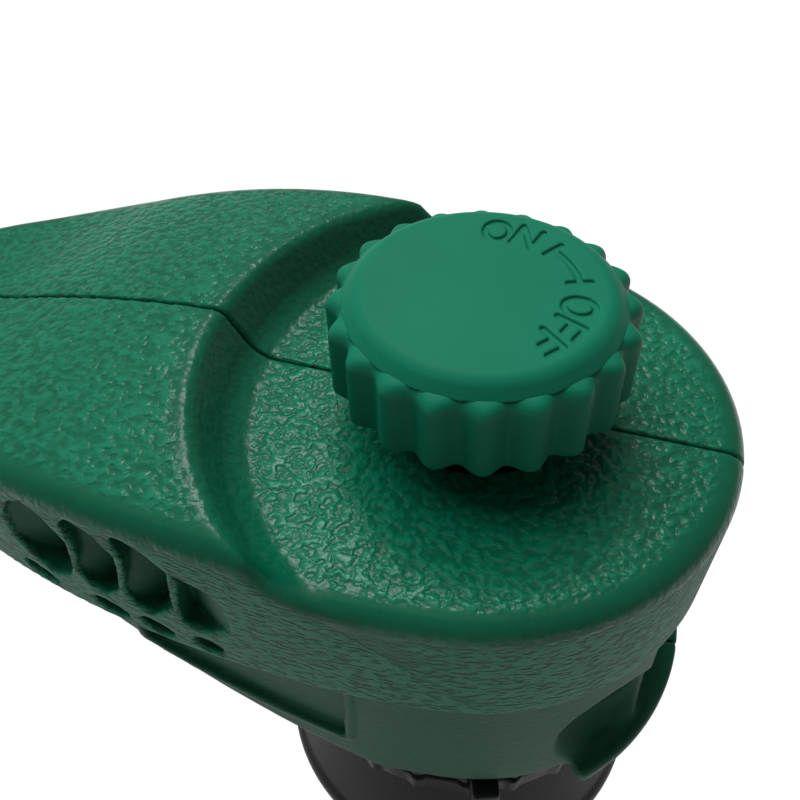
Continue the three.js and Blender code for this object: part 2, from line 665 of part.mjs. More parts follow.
function addTurbine() {
  const wheelLow = -12.5;
  const wheelHigh = -4;
  const blades = Array.from({ length: 8 }, (_, i) => {
    const blade = block(2, -0.6, wheelLow, 9.5, 0.6, wheelHigh);
    return blade.rotateZ(i * Math.PI / 4);
  });
  place('turbine_wheel', cut(
    join(disc(3.2, wheelLow, wheelHigh, 24), ...blades),
    disc(AXLE_RADIUS + 0.1, wheelLow - 1, wheelHigh + 1, 16),
  ), WHITE, turbineAxis.x, turbineAxis.y);

  const floor = -16.5;
  const top = -1;
  const port = LEVER_X - turbineAxis.x;
  const cup = join(
    disc(STATOR_RADIUS, floor, top),
    block(port - 4, -5, floor, port + 3.2, 5, PORT_TOP_Z),
  );
  place('turbine_housing', cut(
    cup,
    disc(STATOR_RADIUS - 2, floor + 2, top + 1),
    block(port - 6, -3.3, FEED_Z - 3.3, port + 5, 3.3, FEED_Z + 3.3),
    disc(1.8, floor - 1, top + 1, 16).translate(port, 0, 0),
    disc(AXLE_RADIUS + 0.1, floor - 1, floor + 3, 16),
    alongX(disc(NOZZLE_BORE, -20, -8, 20)).translate(0, 0, NOZZLE_TUBE_Z),
  ), BLACK, turbineAxis.x, turbineAxis.y);
  place('turbine_cover', cut(
    disc(STATOR_RADIUS - 0.7, top + GAP, top + 1.9),
    disc(AXLE_RADIUS + 0.1, -2, -0.2, 16),
  ), BLACK, turbineAxis.x, turbineAxis.y);

  const feed = alongX(pipe(FEED_BORE, FEED_RADIUS, MANIFOLD_RADIUS + GAP, -LEVER_X - 3.5, 24));
  place('feed_tube', feed.rotateZ(Math.PI), BLACK, 0, 0, FEED_Z);
  const tubeStart = STATOR_RADIUS - turbineAxis.x + GAP;
  const tube = alongX(pipe(NOZZLE_BORE, FEED_RADIUS - 0.2, tubeStart, -NOZZLE_TUBE_FRONT, 24));
  place('nozzle_tube', tube.rotateZ(Math.PI), BLACK, 0, 0, NOZZLE_TUBE_Z);
}

function addNozzle() {
  const front = -NOSE_X;
  const barrel = alongX(turned([
    [NOZZLE_BORE, front - 3.2], [NOZZLE_RADIUS, front - 3.2], [NOZZLE_RADIUS, front + GAP],
    [6, front + GAP], [6, front + 1.8], [4.8, front + 2.4], [3.6, front + 8], [NOZZLE_MOUTH, front + 8],
    [NOZZLE_MOUTH, front + 1],
  ], 20)).rotateZ(Math.PI);
  const ears = [-1, 1].map((side) => (
    block(-EAR_X - 2, side * 4.2 - 0.9, -1, -EAR_X + 2.4, side * 4.2 + 0.9, HINGE_RISE + 1.8)
  ));
  const pinHole = alongY(disc(0.9 + GAP, -8, 8, 14)).translate(-EAR_X, 0, HINGE_RISE);
  const clear = alongX(disc(NOZZLE_MOUTH - 0.05, front, front + 12)).rotateZ(Math.PI);
  place('nozzle', cut(join(barrel, ...ears), pinHole, clear), BLACK, 0, 0, NOZZLE_Z);
  place('deflector_pin', alongY(disc(0.9, -5.6, 5.6, 14)), STEEL, -EAR_X, 0, NOZZLE_Z + HINGE_RISE);
  place('spray_deflector', cut(
    join(
      alongY(disc(2, -2.9, 2.9, 20)),
      block(-12, -2.9, 0.6, 0, 2.9, 2),
      block(-13.5, -4.5, 0.2, -11, 4.5, 2.4),
    ),
    alongY(disc(0.9 + GAP, -8, 8, 14)),
  ), BLACK, -EAR_X, 0, NOZZLE_Z + HINGE_RISE);
}

// ---------------------------------------------------------------- reversing lever

function addLever() {
  const lean = THREE.MathUtils.degToRad(-LEVER_TILT);
  const finger = block(-1.4, -1.2, FINGER_Z, 4.4, 1.2, FINGER_Z + 2.6).rotateZ(lean);
  const vane = block(-2.3, -0.45, FEED_Z - 2.9, 2.6, 0.45, FEED_Z + 2.9).rotateZ(lean);
  const shaftTop = FEED_Z - 3.2;
  const lever = join(disc(1.5, FINGER_Z, shaftTop, 16), disc(2.4, FINGER_Z, FINGER_Z + 2.6, 20), finger);
  place('reversing_lever', lever, WHITE, LEVER_X);
  place('flow_vane', join(disc(1.3, shaftTop + GAP, PORT_TOP_Z - 0.3, 14), vane), WHITE, LEVER_X);
  place('lever_seal', torus(2.4, 0.5, -25.8), RUBBER, LEVER_X);

  const coil = new THREE.CatmullRomCurve3(Array.from({ length: 12 }, (_, i) => {
    const [x, y] = polar(3.2, 60 + i * 24);
    return new THREE.Vector3(x, y, -24.6 + i * 0.1);
  }));
  const round = new THREE.Shape().absarc(0, 0, 0.4, 0, Math.PI * 2);
  const wire = new THREE.ExtrudeGeometry(round, {
    steps: 16, curveSegments: 3, bevelEnabled: false, extrudePath: coil,
  });
  place('trip_spring', wire, STEEL, LEVER_X);
}

// ---------------------------------------------------------------- arc rings

function arcRing(low, high, tabTop) {
  const grips = Array.from({ length: 12 }, (_, i) => {
    const [x, y] = polar(RING_OUTER, (i + 0.5) * 30);
    return disc(0.8, low, high, 5).translate(x, y, 0);
  });
  const tab = block(RING_OUTER - 0.6, -2, low, RING_OUTER + 4.2, 2, high);
  const finger = block(RING_OUTER + 0.9, -2, low, RING_OUTER + 4.2, 2, tabTop);
  return join(pipe(RING_INNER, RING_OUTER, low, high, 24), ...grips, tab, finger);
}

function addArcRings() {
  const upper = arcRing(-52, -47.9, -47.4);
  const lower = arcRing(-56.9, -52.4, -47.4);
  const turnTo = (degrees) => THREE.MathUtils.degToRad(degrees);
  place('upper_arc_ring', upper, BLACK).rotation.z = turnTo(RING_TAB_ANGLE);
  place('lower_arc_ring', lower, BLACK).rotation.z = turnTo(-RING_TAB_ANGLE);
}

// ---------------------------------------------------------------- riser, base and spike

function addBase() {
  const shell = turned([
    [RISER_BORE, RISER_TOP_Z], [RISER_RADIUS - 0.4, RISER_TOP_Z], [RISER_RADIUS - 0.4, -24.3],
    [RISER_RADIUS, -24.3], [RISER_RADIUS, HUB_TOP_Z], [HUB_RADIUS, HUB_TOP_Z],
    [HUB_RADIUS, SKIRT_TOP_Z], [24.2, SKIRT_TOP_Z], [SKIRT_RADIUS - 0.8, SKIRT_Z],
    [SKIRT_RADIUS, SKIRT_Z - 0.8], [SKIRT_RADIUS, SKIRT_Z - 3.5], [SKIRT_RADIUS - 2.4, SKIRT_Z - 3.5],
    [SKIRT_RADIUS - 2.8, SKIRT_Z - 0.6], [22.4, SKIRT_TOP_Z - 3], [11, SKIRT_TOP_Z - 3], [11, -82],
    [CHAMBER_RADIUS, -84], [CHAMBER_RADIUS, CHAMBER_BOTTOM_Z], [SOCKET_RADIUS, CHAMBER_BOTTOM_Z],
    [SOCKET_RADIUS, SOCKET_Z], [0, SOCKET_Z], [0, INLET_Z - 5.5], [RISER_BORE, INLET_Z - 5.5],
  ], 24);
  const nipple = alongY(turned([
    [0, 6], [NIPPLE_RADIUS, 6], [NIPPLE_RADIUS, 31], [9.4, 31], [9.4, 33], [0, 33],
  ])).translate(0, 0, INLET_Z);
  const nippleBore = alongY(disc(NIPPLE_BORE, 0, 40)).translate(0, 0, INLET_Z);
  const pinBore = alongX(disc(1.5 + GAP, -20, 20, 14)).translate(0, 0, PIN_Z);
  place('riser_base', cut(join(shell, nipple), nippleBore, pinBore), BLACK);

  place('swivel_seal_upper', torus(8.4, 0.5, -21.9), RUBBER);
  place('swivel_seal_lower', torus(8.4, 0.5, -23.5), RUBBER);
  place('retaining_clip', cut(
    pipe(RISER_RADIUS + GAP, 11.5, CLIP_Z, CLIP_Z + 1),
    block(-2.4, 0, CLIP_Z - 1, 2.4, 20, CLIP_Z + 2),
  ), STEEL);
  place('thrust_washer', pipe(RISER_RADIUS + GAP + 0.9, 19, -46.9, -46.3), WHITE);

  const nut = alongY(turned([
    [NIPPLE_RADIUS + 0.5, 26], [14.6, 26], [16, 27.4], [16, 50], [NUT_BORE, 50],
    [NUT_BORE, 30.6], [NIPPLE_RADIUS + 0.5, 30.6],
  ], 24));
  const ribs = Array.from({ length: 12 }, (_, i) => {
    const [x, z] = polar(16, i * 30);
    return alongY(disc(1.6, 28.5, 48.5, 8)).translate(x, 0, z);
  });
  const within = alongY(pipe(NUT_BORE, 17.2, 26, 50));
  place('coupling_nut', join(nut, ...ribs.map((rib) => common(rib, within))), BLACK, 0, 0, INLET_Z);
  const washer = alongY(pipe(NIPPLE_BORE + 0.3, NUT_BORE - 0.4, 33.3, 35.6, 32));
  place('inlet_washer', washer, RUBBER, 0, 0, INLET_Z);
  const holes = Array.from({ length: 6 }, (_, i) => {
    const [x, z] = polar(3.4, i * 60);
    return alongY(disc(1.4, 34, 40, 8)).translate(x, 0, z);
  });
  const screen = cut(alongY(disc(NUT_BORE - 0.4, 35.9, 36.7, 32)), ...holes);
  place('inlet_screen', screen, STEEL, 0, 0, INLET_Z);
}

function addSpike() {
  const plateTop = PLATE_THICKNESS;
  const step = prism([
    [-18, -18], [-16, -50], [-13, -53], [13, -53], [16, -50], [18, -18], [18, 10], [12, 17], [-12, 17],
    [-18, 10],
  ], 0, plateTop);
  const peg = disc(SOCKET_RADIUS - GAP, plateTop - 1, SOCKET_Z + CASING_TOP - GAP, 32);
  const pinBore = alongX(disc(1.5 + GAP, -20, 20, 14)).translate(0, 0, PIN_Z + CASING_TOP);
  const blade = () => {
    const shape = prism([[-13, 0.5], [-11.5, -60], [-6, -128], [0, -SPIKE_LENGTH], [6, -128], [11.5, -60],
      [13, 0.5]], -1.6, 1.6);
    return shape.rotateX(Math.PI / 2);
  };
  const gusset = prism([[-45, 0.5], [-10, -22], [-10, 0.5]], -1.5, 1.5).rotateX(Math.PI / 2);
  gusset.rotateZ(Math.PI / 2);
  place('ground_spike', cut(
    join(step, peg, blade(), blade().rotateZ(Math.PI / 2), gusset),
    pinBore,
  ), BLACK, 0, 0, 0, sprinkler);
  const pin = alongX(disc(1.5, -CHAMBER_RADIUS - 0.8, CHAMBER_RADIUS + 0.8, 14));
  place('spike_pin', pin, STEEL, 0, 0, PIN_Z);
}

addShells();
addValve();
addGears();
addTurbine();
addNozzle();
addLever();
addArcRings();
addBase();
addSpike();

export default sprinkler;
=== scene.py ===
"""A turret sprinkler on a ground spike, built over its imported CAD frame.

Shapes are worked out in millimetres as signed distances, negative inside, and meshed in metres.
Heights of the head are measured from the casing's flat deck.
"""

import json
import math

import bpy
import numpy as np
from mathutils import Matrix, Vector


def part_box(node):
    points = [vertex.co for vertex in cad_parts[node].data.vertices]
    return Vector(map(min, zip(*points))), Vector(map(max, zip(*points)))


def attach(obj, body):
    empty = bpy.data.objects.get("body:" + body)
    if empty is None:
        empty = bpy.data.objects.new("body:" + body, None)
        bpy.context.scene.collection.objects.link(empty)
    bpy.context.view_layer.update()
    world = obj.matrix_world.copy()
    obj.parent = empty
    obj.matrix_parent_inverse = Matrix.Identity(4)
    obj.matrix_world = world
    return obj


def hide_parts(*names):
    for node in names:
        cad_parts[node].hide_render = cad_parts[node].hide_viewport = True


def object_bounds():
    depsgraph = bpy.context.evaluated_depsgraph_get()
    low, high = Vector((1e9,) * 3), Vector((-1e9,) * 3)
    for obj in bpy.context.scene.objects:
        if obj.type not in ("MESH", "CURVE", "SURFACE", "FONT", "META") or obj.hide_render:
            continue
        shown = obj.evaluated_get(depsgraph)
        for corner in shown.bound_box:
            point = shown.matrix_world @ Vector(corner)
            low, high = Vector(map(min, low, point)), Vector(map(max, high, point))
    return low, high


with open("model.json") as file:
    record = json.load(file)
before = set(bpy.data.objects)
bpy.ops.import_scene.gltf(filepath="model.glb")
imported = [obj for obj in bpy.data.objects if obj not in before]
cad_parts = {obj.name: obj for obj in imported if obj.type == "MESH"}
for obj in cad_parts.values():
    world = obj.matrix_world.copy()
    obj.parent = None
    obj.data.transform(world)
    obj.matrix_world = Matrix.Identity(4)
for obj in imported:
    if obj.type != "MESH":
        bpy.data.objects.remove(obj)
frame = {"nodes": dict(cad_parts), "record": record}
cad_low, cad_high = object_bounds()
nodes = frame["nodes"]

KNOB_FOOT = 6.65
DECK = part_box("control_knob")[0].z * 1000 - KNOB_FOOT     # height of the casing's deck, mm

# ------------------------------------------------------------------ camera


LENS = 41.09                                  # mm, on a 36 mm sensor
CAMERA_X, CAMERA_Y, CAMERA_LIFT = 15.0, -77.9, 83.3        # mm, the lift from the deck
FORWARD = Vector((-0.2117, 0.6553, -0.7251)).normalized()
RIGHTWARD = Vector((0.9565, 0.2912, -0.0161))


def add_camera():
    data = bpy.data.cameras.new("camera")
    data.sensor_width = 36
    data.lens = LENS
    data.dof.use_dof = False
    data.clip_start = 0.005
    camera = bpy.data.objects.new("camera", data)
    bpy.context.scene.collection.objects.link(camera)
    right = (RIGHTWARD - FORWARD * RIGHTWARD.dot(FORWARD)).normalized()
    up = right.cross(FORWARD)
    turn = Matrix((right, up, -FORWARD)).transposed().to_4x4()
    place = Vector((CAMERA_X, CAMERA_Y, DECK + CAMERA_LIFT)) / 1000
    camera.matrix_world = Matrix.Translation(place) @ turn
    bpy.context.scene.camera = camera


add_camera()

# ------------------------------------------------------------------ signed distances


def union(a, b, r=0.0):
    """Joins two solids, with a fillet of radius r where they meet."""
    if r <= 0:
        return np.minimum(a, b)
    return np.maximum(np.minimum(a, b), r) - np.sqrt(np.maximum(r - a, 0) ** 2 + np.maximum(r - b, 0) ** 2)


def meet(a, b, r=0.0):
    """What two solids share, with edges rounded to radius r."""
    return -union(-a, -b, r)


def cut(a, b, r=0.0):
    return meet(a, -b, r)


def slab(value, low, high):
    return np.maximum(low - value, value - high)


def smooth(value, low, high):
    t = np.clip((value - low) / (high - low), 0, 1)
    return t * t * (3 - 2 * t)


def polygon(u, v, points):
    """Signed distance in a plane to a closed outline."""
    near = np.full(np.broadcast(u, v).shape, 1e9)
    inside = np.zeros(near.shape, bool)
    for (x0, y0), (x1, y1) in zip(points, points[1:] + points[:1]):
        ex, ey = x1 - x0, y1 - y0
        wx, wy = u - x0, v - y0
        t = np.clip((wx * ex + wy * ey) / max(ex * ex + ey * ey, 1e-12), 0, 1)
        near = np.minimum(near, (wx - ex * t) ** 2 + (wy - ey * t) ** 2)
        if y0 != y1:
            inside ^= ((y0 > v) != (y1 > v)) & (u < ex * (v - y0) / ey + x0)
    return np.where(inside, -1, 1) * np.sqrt(near)


def strokes(u, v, lines):
    """Distance in a plane to the nearest of several open lines."""
    near = np.full(np.broadcast(u, v).shape, 1e9)
    for line in lines:
        for (x0, y0), (x1, y1) in zip(line, line[1:]):
            ex, ey = x1 - x0, y1 - y0
            wx, wy = u - x0, v - y0
            t = np.clip((wx * ex + wy * ey) / max(ex * ex + ey * ey, 1e-12), 0, 1)
            near = np.minimum(near, (wx - ex * t) ** 2 + (wy - ey * t) ** 2)
    return np.sqrt(near)


def ellipsoid(place, halves):
    """Nearly the distance to an ellipsoid, from a place relative to its centre."""
    near = np.sqrt(sum((p / h) ** 2 for p, h in zip(place, halves)))
    steep = np.sqrt(sum((p / h ** 2) ** 2 for p, h in zip(place, halves)))
    return near * (near - 1) / np.maximum(steep, 1e-6)


def tube(a, b, radius, low, high, along):
    """A round bar: a and b are the coordinates across it, along is the one it runs in."""
    return np.maximum(np.hypot(a, b) - radius, slab(along, low, high))


def surface(field, low, step):
    """Meshes the zero surface of a field: a vertex in each crossed cell, a quad over each crossed edge."""
    corners = [(i, j, k) for i in (0, 1) for j in (0, 1) for k in (0, 1)]
    nx, ny, nz = (n - 1 for n in field.shape)
    inside = field < 0
    count = np.zeros((nx, ny, nz), np.int8)
    for i, j, k in corners:
        count += inside[i:nx + i, j:ny + j, k:nz + k]
    cells = np.argwhere((count > 0) & (count < 8))
    number = np.full((nx, ny, nz), -1, np.int64)
    number[tuple(cells.T)] = np.arange(len(cells))
    value = {c: field[tuple((cells + c).T)] for c in corners}
    total = np.zeros((len(cells), 3))
    crossed = np.zeros(len(cells))
    for a in corners:
        for axis in range(3):
            if a[axis] == 0:
                b = tuple(1 if n == axis else a[n] for n in range(3))
                va, vb = value[a], value[b]
                hit = (va < 0) != (vb < 0)
                t = np.where(hit, va / np.where(hit, va - vb, 1), 0)
                for n in range(3):
                    total[:, n] += np.where(hit, a[n] + (t if n == axis else 0), 0)
                crossed += hit
    points = (cells + total / crossed[:, None]) * step + np.array(low)
    faces = []
    for axis in range(3):
        u, v = (axis + 1) % 3, (axis + 2) % 3
        first = [slice(None)] * 3
        second = [slice(None)] * 3
        first[axis], second[axis] = slice(0, -1), slice(1, None)
        change = inside[tuple(first)] != inside[tuple(second)]
        edge = np.argwhere(change)
        ok = (edge[:, u] > 0) & (edge[:, u] < (nx, ny, nz)[u])
        ok = ok & (edge[:, v] > 0) & (edge[:, v] < (nx, ny, nz)[v])
        edge = edge[ok]
        ring = []
        for du, dv in ((1, 1), (0, 1), (0, 0), (1, 0)):
            cell = edge.copy()
            cell[:, u] -= du
            cell[:, v] -= dv
            ring.append(number[tuple(cell.T)])
        quad = np.stack(ring, 1)
        outward = inside[tuple(edge.T)]
        quad[~outward] = quad[~outward][:, ::-1]
        faces.append(quad)
    return points, np.concatenate(faces)


def grid(low, high, step):
    axes = [np.arange(low[n], high[n] + step, step) for n in range(3)]
    return axes[0][:, None, None], axes[1][None, :, None], axes[2][None, None, :]


def piece(name, shape, low, high, step, body, look, stands_for, marks=None, deck=DECK, mirror=False):
    """Meshes shape(x, y, z) between two corners, and rides it on a body in place of a CAD node."""
    x, y, z = grid(low, high, step)
    points, faces = surface(shape(x, y, z), low, step)
    attributes = marks(points) if marks else {}
    if mirror:
        points[:, 1] *= -1
        faces = faces[:, ::-1]
    points[:, 2] += deck
    mesh = bpy.data.meshes.new(name)
    mesh.from_pydata((points / 1000).tolist(), [], faces.tolist())
    mesh.polygons.foreach_set("use_smooth", [True] * len(mesh.polygons))
    for key, values in attributes.items():
        mesh.attributes.new(key, "FLOAT", "POINT").data.foreach_set("value", values.astype(np.float32))
    mesh.materials.append(look)
    made = bpy.data.objects.new(name, mesh)
    bpy.context.scene.collection.objects.link(made)
    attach(made, body)
    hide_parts(stands_for)


# ------------------------------------------------------------------ materials


class Look:
    """A principled material with a few helpers for wiring procedural detail."""

    def __init__(self, name, roughness=0.5, metallic=0.0, specular=0.5):
        self.material = bpy.data.materials.new(name)
        self.material.use_nodes = True
        self.nodes = self.material.node_tree.nodes
        self.links = self.material.node_tree.links
        self.shader = self.nodes["Principled BSDF"]
        self.shader.inputs["Roughness"].default_value = roughness
        self.shader.inputs["Metallic"].default_value = metallic
        self.shader.inputs["Specular IOR Level"].default_value = specular
        place = self.nodes.new("ShaderNodeTexCoord")
        scale = self.nodes.new("ShaderNodeVectorMath")
        scale.operation = "SCALE"
        scale.inputs["Scale"].default_value = 1000
        self.links.new(place.outputs["Object"], scale.inputs[0])
        self.mm = scale.outputs[0]

    def put(self, kind, inputs, output=0, **settings):
        node = self.nodes.new(kind)
        for key, value in settings.items():
            setattr(node, key, value)
        for key, value in inputs.items():
            if isinstance(value, bpy.types.NodeSocket):
                self.links.new(value, node.inputs[key])
            else:
                node.inputs[key].default_value = value
        return node.outputs[output]

    def math(self, operation, *values):
        node = self.nodes.new("ShaderNodeMath")
        node.operation = operation
        for socket, value in zip(node.inputs, values):
            if isinstance(value, bpy.types.NodeSocket):
                self.links.new(value, socket)
            else:
                socket.default_value = value
        return node.outputs[0]

    def stretch(self, factors):
        return self.put("ShaderNodeVectorMath", {0: self.mm, 1: factors}, operation="MULTIPLY")

    def noise(self, scale, detail=3.0, source=None):
        return self.put("ShaderNodeTexNoise", {
            "Vector": source or self.mm, "Scale": scale, "Detail": detail, "Roughness": 0.55})

    def wobble(self, amount, scale, source=None):
        """The coordinates, pushed about by a coloured noise."""
        start = source or self.mm
        shift = self.put("ShaderNodeTexNoise", {"Vector": start, "Scale": scale, "Detail": 2.0}, output="Color")
        centred = self.put("ShaderNodeVectorMath", {0: shift, 1: (0.5, 0.5, 0.5)}, operation="SUBTRACT")
        sized = self.put("ShaderNodeVectorMath", {0: centred, "Scale": amount}, operation="SCALE")
        return self.put("ShaderNodeVectorMath", {0: start, 1: sized}, operation="ADD")

    def cells(self, scale, source):
        return self.put("ShaderNodeTexVoronoi", {"Vector": source, "Scale": scale}, feature="F1")

    def ramp(self, value, low, high, to_low=0.0, to_high=1.0):
        return self.put("ShaderNodeMapRange", {
            "Value": value, "From Min": low, "From Max": high, "To Min": to_low, "To Max": to_high},
            interpolation_type="SMOOTHSTEP")

    def attribute(self, name):
        return self.put("ShaderNodeAttribute", {}, output="Fac", attribute_name=name)

    def colour(self, first, second, share):
        node = self.nodes.new("ShaderNodeMix")
        node.data_type = "RGBA"
        self.links.new(share, node.inputs["Factor"])
        node.inputs[6].default_value = (*first, 1)
        node.inputs[7].default_value = (*second, 1)
        self.links.new(node.outputs[2], self.shader.inputs["Base Color"])

    def roughness(self, share, low, high):
        self.links.new(self.ramp(share, 0.0, 1.0, low, high), self.shader.inputs["Roughness"])

    def bump(self, height, millimetres, under=None):
        inputs = {"Height": height, "Distance": millimetres / 1000, "Strength": 1.0}
        if under is not None:
            inputs["Normal"] = under
        normal = self.put("ShaderNodeBump", inputs)
        self.links.new(normal, self.shader.inputs["Normal"])
        return normal


def grained_green():
    """Leather-grained casing: soft lumps on top, stretched cracks on the sides, plain where grain is 0."""
    look = Look("green_grain", specular=0.22)
    grain, side = look.attribute("grain"), look.attribute("side")

    loose = look.wobble(0.9, 0.6)
    lumps = look.ramp(look.noise(0.95, 0.8, loose), 0.3, 0.7)
    top = look.math("MULTIPLY_ADD", look.ramp(look.cells(0.85, loose), 0.8, 0.1), 0.35, lumps)

    flat = look.stretch((0.8, 0.8, 2.1))
    bent = look.wobble(0.8, 0.6, flat)
    wall = look.math("MULTIPLY", look.ramp(look.noise(0.85, 1.6, bent), 0.36, 0.54), 1.7)

    mixed = look.put("ShaderNodeMix", {"Factor": side, 2: top, 3: wall}, data_type="FLOAT")
    height = look.math("MULTIPLY", mixed, grain)
    fine = look.bump(look.noise(3.2, 4.0), 0.012)
    look.bump(height, 0.14, fine)

    # Colour: a slow random tone, plus painted shade taken from the grain's height. It is darker in the grain's
    # hollows and where the grain fades out: the rims, the step slope, the louvre recesses and the underbody.
    tone_and_painted_shade = look.math("MULTIPLY_ADD", look.noise(0.09, 3.0), 0.35, look.math("MULTIPLY", height, 0.5))
    look.colour((0.0006, 0.038, 0.019), (0.0018, 0.092, 0.049), tone_and_painted_shade)
    dullness = look.math("MULTIPLY_ADD", look.noise(0.6, 3.0), 0.35, look.math("MULTIPLY", side, 0.65))
    look.roughness(dullness, 0.24, 0.62)
    return look.material


def smooth_green():
    look = Look("green_smooth", specular=0.12)
    specks = look.noise(4.5, 4.0)
    look.bump(specks, 0.012)
    look.colour((0.0012, 0.074, 0.040), (0.002, 0.088, 0.048), look.noise(0.12, 4.0))
    look.roughness(specks, 0.46, 0.6)
    return look.material


def moulded(name, dark, light, rough, bump=0.03, scale=2.2):
    look = Look(name, specular=0.1)
    spots = look.noise(scale, 5.0)
    look.bump(spots, bump)
    look.colour(dark, light, look.noise(0.15, 4.0))
    look.roughness(spots, rough - 0.07, rough + 0.09)
    return look.material


def metal(name, dark, light, rough, stretch):
    look = Look(name, metallic=1.0)
    lines = look.noise(1.2, 5.0, look.stretch(stretch))
    look.bump(lines, 0.008)
    look.colour(dark, light, lines)
    look.roughness(lines, rough - 0.06, rough + 0.12)
    return look.material


GRAIN = grained_green()
KNOB_GREEN = smooth_green()
BLACK = moulded("black_satin", (0.004, 0.0045, 0.0055), (0.008, 0.0085, 0.0095), 0.42)
SPIKE_BLACK = moulded("black_matte", (0.010, 0.0105, 0.012), (0.019, 0.020, 0.022), 0.56, 0.07, 1.3)
ACETAL = moulded("acetal", (0.62, 0.61, 0.56), (0.74, 0.73, 0.69), 0.36, 0.012)
NYLON = moulded("grey_nylon", (0.13, 0.14, 0.15), (0.19, 0.20, 0.21), 0.44, 0.015)
RUBBER = moulded("seal_rubber", (0.009, 0.009, 0.009), (0.018, 0.018, 0.018), 0.72, 0.03, 3.5)
STEEL = metal("stainless", (0.46, 0.47, 0.48), (0.66, 0.67, 0.68), 0.26, (6.0, 6.0, 0.4))
BRASS = metal("turned_brass", (0.52, 0.35, 0.13), (0.74, 0.54, 0.25), 0.28, (0.6, 0.6, 9.0))

CAD_LOOKS = {
    "green_shell": GRAIN, "black_plastic": BLACK, "acetal": ACETAL, "grey_plastic": NYLON,
    "seal_rubber": RUBBER, "steel": STEEL, "brass": BRASS,
}
for entry in frame["record"]["subparts"]:
    mesh = nodes[entry["node"]].data
    mesh.materials.clear()
    mesh.materials.append(CAD_LOOKS[entry["material_slot"]])

# ------------------------------------------------------------------ casing

REAR, BEAM, BEAM_X, NOSE_X, REACH = 33.0, 34.0, -14.0, -88.0, 77.0
LIP = -19.2
FLOOR = -46.0
WALL = 2.4
STEP_X, STEP_R, STEP_FLARE = 9.5, 39.0, 0.61
KEEL_X, KEEL_SLOPE = -5.0, 0.515
BODY_TAPER_X, BODY_FRONT = -44.0, -57.0
BODY_EASE, BODY_TUCK = 1.5, 1.8
BODY_INSET = BODY_EASE + BODY_TUCK        # how far the lower body is inside the casing's outline
BODY_REAR_INSET = 4.6
DRAFT = 0.028                             # of the casing's wall
LEDGE_R, LEDGE_TOP, LEDGE_ANGLE = 33.4, -43.9, math.radians(47)
SCOOP_R, SCOOP_ANGLE, SCOOP_Z = 33.0, math.radians(37), -36.5
SCOOP_HALF = (9.5, 7.0, 8.5)              # along the wall, into it, and up
LOUVRE_DEPTH, LOUVRE_BACK = 6.4, 7.4
SEAM = 0.15
SCREWS = [(-66, -4.4, 1), (26.5, -10, 1), (23.5, -38, -1), (-14, -34.5, 1)]     # x, z, and the side of the head


def casing_half(x):
    t = (x - BEAM_X) / (6 - BEAM_X)
    rear = math.sqrt(REAR ** 2 - 36)
    blend = BEAM + (rear - BEAM) * (3 * t ** 2 - 2 * t ** 3) - 6 / rear * (6 - BEAM_X) * (t ** 3 - t ** 2)
    if x >= 6:
        return math.sqrt(max(REAR ** 2 - x ** 2, 0))
    if x >= BEAM_X:
        return blend
    return BEAM * math.sqrt(1 - ((x - BEAM_X) / REACH) ** 2)


def body_half(x):
    if x >= BODY_TAPER_X:
        return casing_half(x) - BODY_INSET
    reach = (x - BODY_TAPER_X) / (BODY_FRONT - BODY_TAPER_X)
    return (casing_half(BODY_TAPER_X) - BODY_EASE) * math.sqrt(max(1 - reach ** 2, 0)) - BODY_TUCK


def closed_outline(half, front, rear, count=90):
    xs = [(front + rear) / 2 - math.cos(i / count * math.pi) * (rear - front) / 2 for i in range(count + 1)]
    side = [(x, max(half(x), 0.0)) for x in xs]
    return side + [(x, -w) for x, w in reversed(side) if w > 0.01]


CASING = closed_outline(casing_half, NOSE_X, REAR)
BODY = closed_outline(body_half, BODY_FRONT, REAR - BODY_REAR_INSET)
HALF_X = np.arange(-90, 40, 0.5)
HALF_TABLE = np.array([casing_half(x) for x in HALF_X])

# LOUVRES and BLIND are points that a scratch program projected from the photograph, and PANEL and
# NOTCHES started from it. They are not worked out from the part's own dimensions.
# Louvre mouths on the side wall, as (x, z) outlines. Each blade sweeps inwards towards the rear.
LOUVRES = [
    [(-45.5, 1.5), (-43.0, 0), (-41.1, -3.7), (-41.5, -7.1), (-42.4, -10.6), (-43.5, -12.8), (-45.8, -14.1),
     (-48.6, -13.0), (-51.2, -9.2), (-51.0, -4.6), (-48.6, -.6)],
    [(-39.1, 1.9), (-37.7, 1.9), (-35.6, .6), (-33.7, -2), (-34.5, -6.3), (-35.5, -10.7), (-37.9, -13.1),
     (-40.4, -12.2), (-41.4, -9.6), (-40.4, -6.6), (-40.0, -3.3), (-40.4, .6)],
    [(-32.7, 2.2), (-31.0, 2.3), (-28.9, 1), (-26.8, -1.3), (-27.4, -5.9), (-27.8, -9.9), (-31.3, -13.5),
     (-33.6, -12.4), (-34.5, -9.8), (-33.5, -6.4), (-32.7, -2.6), (-33.4, 1.3)],
]
BLIND = [(-26.3, -1.2), (-22, -3), (-19.9, -6.2), (-20.6, -10.5), (-23.9, -13), (-26.8, -12.4), (-27, -9.6),
         (-26.4, -6.0), (-25.7, -3.0)]
NOTCHES = [(-49.5, -16.3, 2.7), (-38.3, -16.4, 2.5), (-31.5, -16.5, 2.3), (-24.3, -16.4, 1.9)]
PANEL = [(-38.1, -22.6), (-37.3, -27.2), (-9.2, -37.2), (-8.6, -22.6)]


def hood_drop(x):
    d = -34 - x
    return 7.1 - 0.055 * d - 0.0035 * d ** 2


def casing_parts(x, y):
    """In plan: signed distances to the casing's and the underbody's outlines."""
    return polygon(x, y, CASING), polygon(x, y, BODY)


